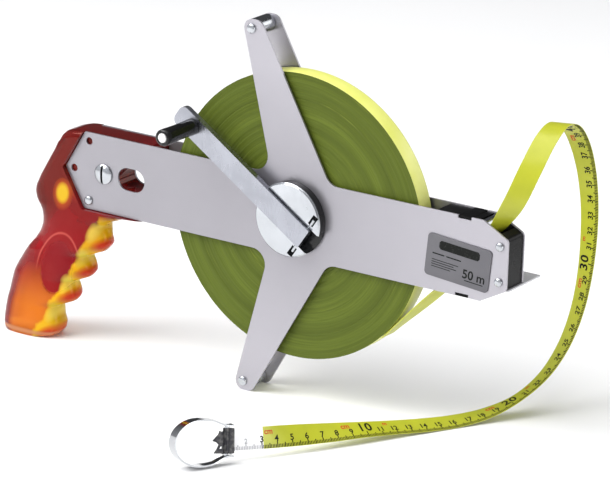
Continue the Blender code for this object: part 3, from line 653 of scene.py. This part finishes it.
def blade_scale():
    """Millimetre, half-centimetre and centimetre marks along the lower edge, and their figures."""
    ticks = []
    grey = []
    edge = -TAPE_HALF + 0.25
    for millimetre in range(12, int(BLADE.length + BLADE_ZERO) - 3):
        s = millimetre - BLADE_ZERO
        tall = 3.6 if millimetre % 10 == 0 else 2.9 if millimetre % 5 == 0 else 2.1
        if millimetre % 100 == 0:
            tall = 4.6
        half = 0.23 if millimetre % 5 else 0.3
        marks = grey if millimetre < WHITE_END else ticks
        marks.append((s - half, s + half, edge, edge + tall))
    small = []
    big = []
    red = []
    for centimetre in range(3, int((BLADE.length + BLADE_ZERO) / 10)):
        s = centimetre * 10 - BLADE_ZERO
        if centimetre % 10:
            small.append((str(centimetre), s, -TAPE_HALF + 4.0, 3.7))
            continue
        big.append((str(centimetre)[0], s - 2.5, -1.3, 6.4))
        big.append((str(centimetre)[1], s + 2.5, -1.3, 6.4))
        red.append(("cm", s - 13.0, 1.6, 3.6))
        red.append(("m", s + 14.5, 2.4, 2.8))
    red.append(("cm", 24.5, 2.0, 3.4))
    end_figures = [("2", 10.0, -TAPE_HALF + 3.9, 2.8), ("1", 2.5, -TAPE_HALF + 3.9, 2.8)]
    return [printed("blade_ticks", ticks, BLACK_INK), printed("blade_end_ticks", grey, GREY_INK),
            lettering("blade_figures", small + big, BLACK_INK), lettering("blade_red_figures", red, RED_INK),
            lettering("blade_end_figures", end_figures, GREY_INK)]


def blade_with_fittings():
    """The free blade with its print and its end fittings."""
    blade = free_blade()
    fittings = [refined("end_hook", DARK_STEEL, "frame", 0.1),
                refined("ring_pin", BRIGHT, "frame", 0.2),
                refined("pull_ring", RING_STEEL, "ring", 0.15)]
    fittings + blade_scale()


blade_with_fittings()


# ---------------------------------------------------------------- frame, reel, crank and mouth

def darken_rim(piece, radius):
    """Painted shade: gloss black on the crank disc's side wall and on the floors of its recesses."""
    piece.data.materials.append(GLOSS_BLACK)
    for face in piece.data.polygons:
        outermost = math.hypot(face.center.x, face.center.z) > (radius - 0.3) * MM
        floor = face.normal.y < -0.9 and face.center.y > -14.0 * MM
        if floor or (abs(face.normal.y) < 0.2 and outermost):
            face.material_index = 1


def darken_slot(piece):
    """Gloss black on the walls and floor of the screw's slot."""
    piece.data.materials.append(GLOSS_BLACK)
    for face in piece.data.polygons:
        x, front = face.center.x / MM + 139.3, -face.center.y / MM
        wall = abs(face.normal.x) > 0.95 and abs(x) < 0.9
        if front > 10.2 and abs(x) < 0.9 and (wall or (face.normal.y < -0.95 and front < 11.3)):
            face.material_index = 1


def finished_parts():
    """CAD shapes that only need softened edges and their finish."""
    refined("front_plate", SATIN, "frame", 0.2)
    refined("rear_plate", SATIN, "frame", 0.2)
    refined("lip_plate", LIP_SATIN, "frame", 0.15)
    refined("label_plate", LABEL, "frame", 0.1)
    refined("mouth_guide", BLACK, "frame", 0.35, 3)
    disc = refined("crank_disc", BRIGHT, "reel", 0.25, 3)
    # Painted shade: the disc's side wall and recess floors turn gloss black.
    darken_rim(disc, 22.8)
    refined("crank_arm", PLATED, "crank", 0.35, 3)
    refined("hinge_pin", BRIGHT, "reel", 0.2)
    refined("spool_core", BLACK, "reel", 0.3)
    refined("tape_anchor", BRIGHT, "reel", 0.2)
    screw = refined("grip_screw", BRIGHT, "frame", 0.15)
    darken_slot(screw)
    for word in ("upper", "lower"):
        refined(word + "_roller", BRIGHT, word + "_roller", 0.4, 3)
        refined(word + "_roller_pin", BRIGHT, "frame", 0.25)
        refined(word + "_tip_spacer", BRIGHT, "frame", 0.4, 3)


def turned_copy(node, material, body, centre, profile, steps=96, closed=False, turn=0.0):
    """A turned piece that stands for one CAD node."""
    return turned(node + "_turned", profile, centre, material, body, (node,), steps, closed, turn)


def dome(reach, head, rise, parts=7):
    """A pan head's profile from its middle out to its rim."""
    points = []
    for k in range(parts + 1):
        angle = math.radians(90 * k / parts)
        points.append((head * math.sin(angle), reach + rise * (0.25 + 0.75 * math.cos(angle))))
    points.append((head, reach))
    return points


def rivets():
    reach = 9.8
    for node, centre, size in (("upper_tip_rivet", (-33.2, 110.4), 3.0),
                               ("lower_tip_rivet", (-33.2, -110.4), 3.0),
                               ("upper_nose_rivet", (142.3, 10.7), 2.6),
                               ("lower_nose_rivet", (142.3, -10.7), 2.6),
                               ("grip_rivet", (-150.4, -18.9), 2.9)):
        head = dome(reach, size, 1.5)
        rear = [(radius, -front) for radius, front in reversed(head)]
        turned_copy(node, BRIGHT, "frame", centre,
                    head + [(1.95, reach), (1.95, -reach)] + rear, steps=48)
    nut = [(radius, -front) for radius, front in reversed(dome(9.8, 6.5, 2.2, 9))]
    turned_copy("grip_nut", BRIGHT, "frame", (-139.3, 0),
                [(0, -8.0), (3.1, -8.0), (3.1, -2.0), (4.2, -2.0), (4.2, -9.8)] + nut, steps=64)


def hub_parts():
    turned_copy("spindle", BRIGHT, "reel", (0, 0),
                [(0, 9.9), (4.4, 9.9), (5.0, 9.3), (5.0, -10.6), (4.4, -11.2), (0, -11.2)])
    for node, side in (("front_bushing", 1), ("rear_bushing", -1)):
        profile = [(8.5, 6.9), (8.3, 7.1), (8.3, 9.3), (8.6, 9.6), (10.4, 9.6), (10.7, 9.3), (10.7, 8.0),
                   (12.8, 8.0), (13.0, 7.8), (13.0, 7.1), (12.8, 6.9)]
        turned_copy(node, BRONZE, "frame", (0, 0), [(r, side * f) for r, f in profile],
                    closed=True)
    turned_copy("rear_hub_cap", BLACK, "reel", (0, 0),
                [(0, -11.5), (5.3, -11.5), (5.3, -6.6), (8.0, -6.6), (8.0, -9.9), (13.7, -9.9),
                 (14.0, -10.2), (13.8, -11.4), (13.1, -12.2), (11.4, -13.0), (10.4, -13.2), (9.8, -12.9),
                 (4.2, -13.0), (3.4, -13.5), (0, -13.6)])


def knob_parts():
    """The knob waists in slightly towards its base and has a rolled lip round its cap."""
    body = [(2.3, 18.9), (2.3, 46.0), (3.3, 46.0), (3.3, 49.2), (3.6, 49.5), (4.2, 49.4), (4.8, 49.0),
            (5.1, 48.2), (5.1, 44.0), (5.0, 40.0), (4.9, 33.0), (4.95, 26.0), (5.1, 22.0), (5.1, 19.8),
            (4.9, 19.2), (4.5, 18.9)]
    turned_copy("knob", GLOSS_BLACK, "knob", (82.0, 0), body, closed=True, turn=CRANK_TURN)
    cap = [(0, 50.0), (1.2, 49.95), (2.2, 49.75), (2.8, 49.4), (3.0, 48.9), (3.0, 46.3), (0, 46.3)]
    turned_copy("knob_cap", WHITE, "knob", (82.0, 0), cap, turn=CRANK_TURN)
    spindle = [(0, 45.5), (1.7, 45.5), (2.0, 45.2), (2.0, 17.1), (3.6, 17.1), (3.8, 16.9), (3.8, 16.1),
               (3.6, 15.9), (0, 15.9)]
    turned_copy("knob_spindle", BRIGHT, "crank", (82.0, 0), spindle, steps=48,
                turn=CRANK_TURN)


def coil_profile():
    """The coil's section: its sides step in and out a little from turn to turn."""
    turns = 92
    side = []
    for k in range(turns + 1):
        radius = 24.0 + (REEL_R - 24.2) * k / turns
        step = 0.10 * math.sin(k * 2.4) + 0.08 * math.sin(k * 1.13 + 1.0) + 0.07 * math.sin(k * 5.7)
        side.append((radius, 6.24 + step))
    front = side + [(REEL_R - 0.05, 6.3)]
    rim = [(REEL_R, 6.1), (REEL_R, -6.1)]
    back = [(radius, -wide) for radius, wide in reversed(front)]
    return front + rim + back


def coil():
    """The wound tape: its sides show the edges of the turns and its rim the face of the last turn, in the
    tape's own yellow coat painted paler as a painted highlight.
    """
    piece = turned_copy("wound_tape", COIL, "reel", (0, 0), coil_profile(), steps=144,
                        closed=True)
    # Painted highlight: the rim's faces get a paler, lit copy of the blade's yellow coat.
    piece.data.materials.append(PAINTED_LIT_RIM)
    for face in piece.data.polygons:
        points = [piece.data.vertices[i].co for i in face.vertices]
        if min(math.hypot(p.x, p.z) for p in points) > (REEL_R - 0.04) * MM:
            face.material_index = 1


def tape_lead():
    """The blade from the coil to the mouth, twisting a little before the lower roller holds it flat."""
    piece = refined("tape_lead", YELLOW, "frame")
    bm = bmesh.new()
    bm.from_mesh(piece.data)
    long = [e for e in bm.edges if e.calc_length() > 6 * MM and abs((e.verts[0].co - e.verts[1].co).y) < MM]
    bmesh.ops.subdivide_edges(bm, edges=long, cuts=10)
    outward = Vector((0.727, 0, -0.686))
    for vert in bm.verts:
        z = vert.co.z / MM
        rise = min(1.0, max(0.0, (z + 66) / 34))
        fall = min(1.0, max(0.0, (-18.5 - z) / 7))
        vert.co += outward * (vert.co.y / TAPE_HALF) * 1.6 * (3 * rise ** 2 - 2 * rise ** 3) * fall
    bm.to_mesh(piece.data)
    bm.free()
    piece.data.shade_smooth()
    piece.data.set_sharp_from_angle(angle=math.radians(35))


# ---------------------------------------------------------------- label print

def label_spot(x, z):
    lean = math.radians(-4.8)
    return (115.0 + x * math.cos(lean) - z * math.sin(lean), -4.2 + x * math.sin(lean) + z * math.cos(lean))


def label_print():
    """Generic print: a dark bar, thin rules and the tape's length."""
    bm = bmesh.new()
    boxes = [(-13.5, 14.0, 4.6, 10.0), (-17.5, -9.5, 1.0, 1.7), (-8.0, 2.0, 1.0, 1.7),
             (-17.5, 0.5, -2.6, -2.2), (-17.5, -2.5, -4.0, -3.6), (-17.5, -0.5, -5.4, -5.0),
             (-17.5, -4.5, -6.8, -6.4), (5.5, 18.0, -9.6, -9.1)]
    for x0, x1, z0, z1 in boxes:
        cut = 1.2 if z1 - z0 > 2 else 0.0
        corners = [(x0 + cut, z0), (x1 - cut, z0), (x1, z0 + cut), (x1, z1 - cut), (x1 - cut, z1),
                   (x0 + cut, z1), (x0, z1 - cut), (x0, z0 + cut)]
        if not cut:
            corners = [(x0, z0), (x1, z0), (x1, z1), (x0, z1)]
        loop = [label_spot(x, z) for x, z in corners]
        near = ring_of(bm, [(x, -10.28, z) for x, z in loop])
        far = ring_of(bm, [(x, -10.18, z) for x, z in loop])
        bridge(bm, [near, far])
        bm.faces.new(near)
        bm.faces.new(far)
    finish_piece(add_mesh("label_bars", bm), BLACK_INK, "frame")
    curve = bpy.data.curves.new("label_words", "FONT")
    curve.body = "50 m"
    curve.size = 7.6
    curve.extrude = 0.05
    curve.offset = 0.12
    guide = bpy.data.objects.new("label_guide", curve)
    bpy.context.scene.collection.objects.link(guide)
    mesh = bpy.data.meshes.new_from_object(guide.evaluated_get(bpy.context.evaluated_depsgraph_get()))
    bpy.data.objects.remove(guide)
    bm = bmesh.new()
    bm.from_mesh(mesh)
    bpy.data.meshes.remove(mesh)
    bmesh.ops.remove_doubles(bm, verts=bm.verts, dist=0.001)
    for vert in bm.verts:
        x, up, out = vert.co
        place = label_spot(3.6 + x, -8.0 + up)
        vert.co = (place[0], -10.23 - out, place[1])
    finish_piece(add_mesh("label_words", bm), BLACK_INK, "frame")


finished_parts()
rivets()
hub_parts()
knob_parts()
coil()
tape_lead()
label_print()


# ---------------------------------------------------------------- grip

# Height, back edge, front edge, half width and boxiness of the grip at each level, as in part.py.
GRIP_LEVELS = (
    (-116.0, -216.4, -184.5, 11.6, 3.0),
    (-114.6, -217.6, -179.5, 12.2, 3.0),
    (-111.0, -218.2, -176.6, 12.6, 3.0),
    (-106.0, -217.9, -175.6, 12.7, 2.8),
    (-100.0, -217.0, -177.0, 12.8, 2.7),
    (-95.0, -216.0, -178.0, 12.8, 2.6),
    (-92.3, -215.4, -171.5, 12.8, 2.6),
    (-89.6, -214.7, -166.0, 12.8, 2.6),
    (-85.5, -213.7, -163.6, 13.0, 2.6),
    (-80.5, -212.3, -164.8, 13.0, 2.6),
    (-76.6, -211.0, -166.8, 13.0, 2.6),
    (-74.2, -210.0, -160.5, 13.0, 2.6),
    (-71.5, -208.7, -154.6, 13.0, 2.6),
    (-67.5, -206.2, -151.7, 13.2, 2.6),
    (-62.0, -202.6, -153.6, 13.2, 2.6),
    (-58.0, -199.6, -156.4, 13.2, 2.6),
    (-55.3, -197.4, -150.0, 13.2, 2.6),
    (-52.5, -195.0, -143.4, 13.2, 2.6),
    (-47.0, -191.2, -139.4, 13.2, 2.6),
    (-41.0, -188.9, -140.6, 13.0, 2.7),
    (-35.5, -188.3, -142.8, 13.0, 3.0),
    (-31.6, -188.9, -137.0, 13.0, 3.4),
    (-28.9, -189.9, -129.4, 12.8, 4.0),
    (-26.2, -191.1, -126.5, 12.6, 5.0),
    (-24.6, -191.7, -104.5, 12.4, 6.0),
    (-20.0, -192.3, -103.0, 12.4, 7.0),
    (-14.0, -190.9, -103.0, 12.4, 7.0),
    (0.0, -182.9, -103.0, 12.4, 7.0),
    (14.0, -174.8, -103.0, 12.4, 7.0),
    (19.5, -171.4, -103.0, 12.4, 7.0),
    (22.6, -168.0, -103.4, 12.0, 7.0),
    (24.2, -162.0, -105.0, 11.0, 7.0),
)
GRIP_SIDES = 64


def smooth_step(value, low, high):
    t = min(1.0, max(0.0, (value - low) / (high - low)))
    return t * t * (3 - 2 * t)


def grip_levels():
    """The levels with three smooth stages between each pair, kept monotonic by straight mixing."""
    out = []
    for low, high in zip(GRIP_LEVELS, GRIP_LEVELS[1:]):
        for k in range(3):
            out.append([a + (b - a) * k / 3 for a, b in zip(low, high)])
    out.append(list(GRIP_LEVELS[-1]))
    softened = [list(level) for level in out]
    for i in range(2, len(out) - 2):
        for column in (1, 2, 3):
            softened[i][column] = (out[i - 1][column] + out[i][column] * 2 + out[i + 1][column]) / 4
    return softened


def grip_point(level, i):
    """A point of one level: finger scoops narrow its front and a shallow oval panel dishes its sides."""
    z, back, front, half, power = level
    angle = 2 * math.pi * (i + 0.5) / GRIP_SIDES
    c, s = math.cos(angle), math.sin(angle)
    x = (back + front) / 2 + (front - back) / 2 * math.copysign(abs(c) ** (2 / power), c)
    y = half * math.copysign(abs(s) ** (2 / power), s)
    ahead = x + 124.0 - 0.585 * z
    scoop = 0.0
    for middle, reach in ((-39, 9), (-56, 8), (-75, 9), (-96, 11)):
        scoop = max(scoop, 1 - abs(z - middle) / reach)
    if z < -28:
        y *= 1 - smooth_step(ahead, -1.0, 9.0) * (0.06 + 0.26 * smooth_step(scoop, 0.0, 0.7))
    lean = math.radians(17.7)
    p = ((x + 172.6) * math.cos(lean) - (z + 66.3) * math.sin(lean)) / 10.8
    q = ((x + 172.6) * math.sin(lean) + (z + 66.3) * math.cos(lean)) / 18.6
    y -= math.copysign(0.7 * smooth_step(1.15 - p * p - q * q, 0.0, 0.35), y)
    return (x, y, z)


def rod_cutter(bm, radius, x, z, sides=48):
    loop = [(x + radius * math.cos(2 * math.pi * k / sides), z + radius * math.sin(2 * math.pi * k / sides))
            for k in range(sides)]
    prism(bm, loop, 20, -20)


def prism(bm, loop, front, back):
    near = ring_of(bm, [(x, -front, z) for x, z in loop])
    far = ring_of(bm, [(x, -back, z) for x, z in loop])
    bridge(bm, [near, far])
    bm.faces.new(near)
    bm.faces.new(far)


def slot_shape():
    loop = []
    for k in range(33):
        angle = math.radians(-90 + 180 * k / 32)
        loop.append((-118.7 + 2.8 + 7.2 * math.cos(angle), 7.2 * math.sin(angle)))
    for k in range(33):
        angle = math.radians(90 + 180 * k / 32)
        loop.append((-118.7 - 2.8 + 7.2 * math.cos(angle), 7.2 * math.sin(angle)))
    return loop


def carve(obj, bm, name):
    """Takes a shape away from a piece and leaves no helper behind."""
    cutter = add_mesh(name, bm)
    modifier = obj.modifiers.new(name, "BOOLEAN")
    modifier.operation = "DIFFERENCE"
    modifier.solver = "EXACT"
    modifier.object = cutter
    mesh = bpy.data.meshes.new_from_object(obj.evaluated_get(bpy.context.evaluated_depsgraph_get()))
    obj.modifiers.clear()
    obj.data = mesh
    bpy.data.objects.remove(cutter)


def grip():
    bm = bmesh.new()
    rows = []
    for level in grip_levels():
        rows.append(ring_of(bm, [grip_point(level, i) for i in range(GRIP_SIDES)]))
    bridge(bm, rows)
    bm.faces.new(rows[0])
    bm.faces.new(rows[-1])
    body = add_mesh("grip_body", bm)
    pocket = [(-168.7, 0.0), (-154.1, 24.9), (-150, 40), (-90, 40), (-90, -24.9), (-154.1, -24.9)]
    for name, front, back in (("front_seat", 30, 8.0), ("rear_seat", -8.0, -30)):
        bm = bmesh.new()
        prism(bm, pocket, front, back)
        carve(body, bm, name)
    bm = bmesh.new()
    prism(bm, slot_shape(), 20, -20)
    rod_cutter(bm, 4.6, -139.3, 0.0)
    rod_cutter(bm, 2.3, -150.4, -18.9)
    carve(body, bm, "holes")
    body.data.shade_smooth()
    body.data.set_sharp_from_angle(angle=math.radians(38))
    finish_piece(body, AMBER, "frame", ("grip",))


grip()


# ---------------------------------------------------------------- stage and light

def add_light(name, place, aim, size, power, color=(1, 1, 1)):
    data = bpy.data.lights.new(name, "AREA")
    data.shape = "RECTANGLE"
    data.size, data.size_y = size
    data.energy = power
    data.color = color
    lamp = bpy.data.objects.new(name, data)
    lamp.location = at(*place)
    lamp.rotation_euler = (at(*aim) - lamp.location).to_track_quat("-Z", "Y").to_euler()
    bpy.context.scene.collection.objects.link(lamp)


def studio():
    bm = bmesh.new()
    bmesh.ops.create_grid(bm, x_segments=2, y_segments=2, size=9000)
    bmesh.ops.translate(bm, vec=(0, 0, -HUB.z / MM), verts=bm.verts)
    floor = add_mesh("studio_floor", bm)
    floor.data.materials.append(studio_floor())
    add_light("key", (-900, -1100, 1300), (0, 0, 0), (1.2, 1.2), 34)
    add_light("top", (-100, 0, 1700), (0, 0, 0), (2.0, 2.0), 26)
    add_light("back", (900, 1500, 500), (0, 0, 0), (1.0, 0.8), 5)
    add_light("side", (1700, -250, 250), (0, 0, 0), (0.8, 0.8), 9)
    world = bpy.data.worlds.new("studio_world")
    world.use_nodes = True
    tree = world.node_tree
    fade = tree.nodes.new("ShaderNodeMapRange")
    facing = tree.nodes.new("ShaderNodeVectorMath")
    facing.operation = "DOT_PRODUCT"
    facing.inputs[1].default_value = (-0.50, -0.86, 0.0)
    tree.links.new(tree.nodes.new("ShaderNodeTexCoord").outputs["Generated"], facing.inputs[0])
    tree.links.new(facing.outputs["Value"], fade.inputs["Value"])
    for name, value in (("From Min", -0.1), ("From Max", 0.75), ("To Min", 0.07), ("To Max", 0.75)):
        fade.inputs[name].default_value = value
    tree.links.new(fade.outputs[0], tree.nodes["Background"].inputs["Strength"])
    tree.nodes["Background"].inputs["Color"].default_value = (0.95, 0.96, 1.0, 1)
    bpy.context.scene.world = world
    bpy.context.scene.view_settings.view_transform = "Standard"


studio()
